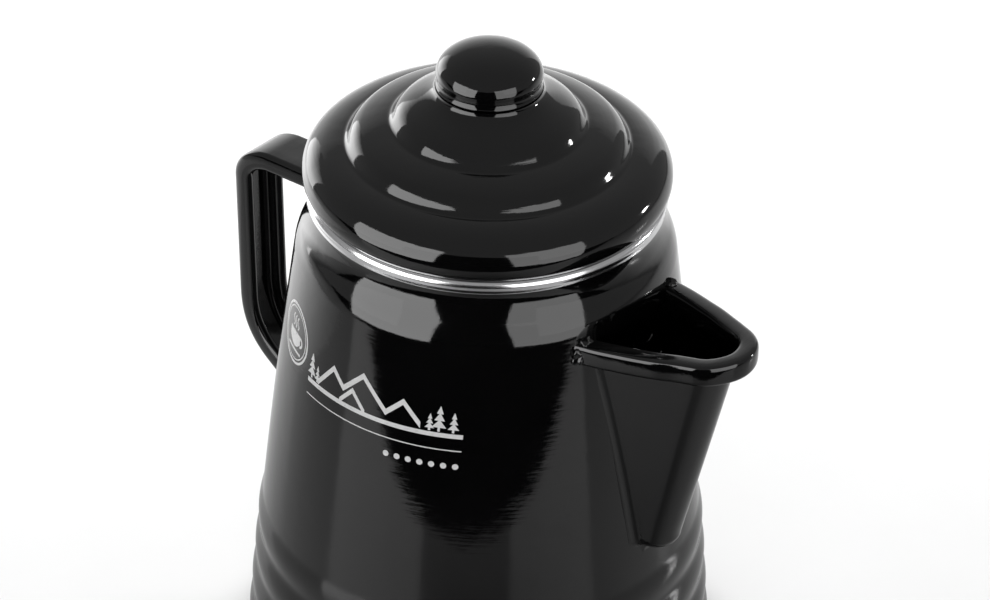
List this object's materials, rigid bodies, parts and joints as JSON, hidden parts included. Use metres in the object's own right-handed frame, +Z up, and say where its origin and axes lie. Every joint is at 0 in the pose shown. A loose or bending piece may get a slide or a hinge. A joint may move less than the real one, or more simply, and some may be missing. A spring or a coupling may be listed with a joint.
{
  "type": "coffee percolator",
  "caption": "Tapered black enamelled steel coffee percolator with rippled foot, lidded mouth, pouring spout, strap handle and lift-out brewing insert.",
  "frame": {"origin": "centre of the flat base, on the surface the pot stands on", "axes": "+Z up along the pot's axis, +X towards the spout, -X towards the handle"},
  "size_m": [0.2145, 0.1612, 0.2345],
  "materials": {
    "enamel_black": "deep black vitreous enamel, high gloss with slight orange peel",
    "rim_steel": "bright rolled stainless band, finely brushed along its length",
    "insert_steel": "satin stainless sheet and tube",
    "fastener_steel": "zinc plated steel, satin",
    "knob_core_plastic": "moulded dark phenolic plastic"
  },
  "bodies": {
    "pot": {"pot_shell": "enamel_black", "base_plate": "enamel_black", "rim_band": "rim_steel", "spout": "enamel_black", "handle": "enamel_black"},
    "lid": {"lid_shell": "enamel_black", "lid_collar": "enamel_black", "knob_cap": "enamel_black", "knob_core": "knob_core_plastic", "knob_washer": "fastener_steel", "knob_screw": "fastener_steel"},
    "pump": {"riser_tube": "insert_steel", "pump_foot": "insert_steel", "valve_cage": "insert_steel", "basket_stop": "insert_steel"},
    "valve": {"valve_disc": "insert_steel"},
    "basket": {"basket_cup": "insert_steel", "basket_sleeve": "insert_steel"},
    "spreader": {"basket_cover": "insert_steel", "cover_collar": "insert_steel"}
  },
  "joints": [
    {"name": "lid_lift", "type": "slide", "parent": "pot", "child": "lid", "axis": [0, 0, 1], "range_m": [0, 0.42]},
    {"name": "insert_lift", "type": "slide", "parent": "pot", "child": "pump", "axis": [0, 0, 1], "range_m": [0, 0.21]},
    {"name": "basket_lift", "type": "slide", "parent": "pump", "child": "basket", "axis": [0, 0, 1], "range_m": [0, 0.084]},
    {"name": "spreader_lift", "type": "slide", "parent": "basket", "child": "spreader", "axis": [0, 0, 1], "range_m": [0, 0.042]},
    {"name": "valve_lift", "type": "slide", "parent": "pump", "child": "valve", "axis": [0, 0, 1], "range_m": [0, 0.0025]}
  ],
  "couplings": [
    {"joint": "insert_lift", "follows": "lid_lift", "ratio": 0.5},
    {"joint": "basket_lift", "follows": "lid_lift", "ratio": 0.2},
    {"joint": "spreader_lift", "follows": "lid_lift", "ratio": 0.1}
  ]
}
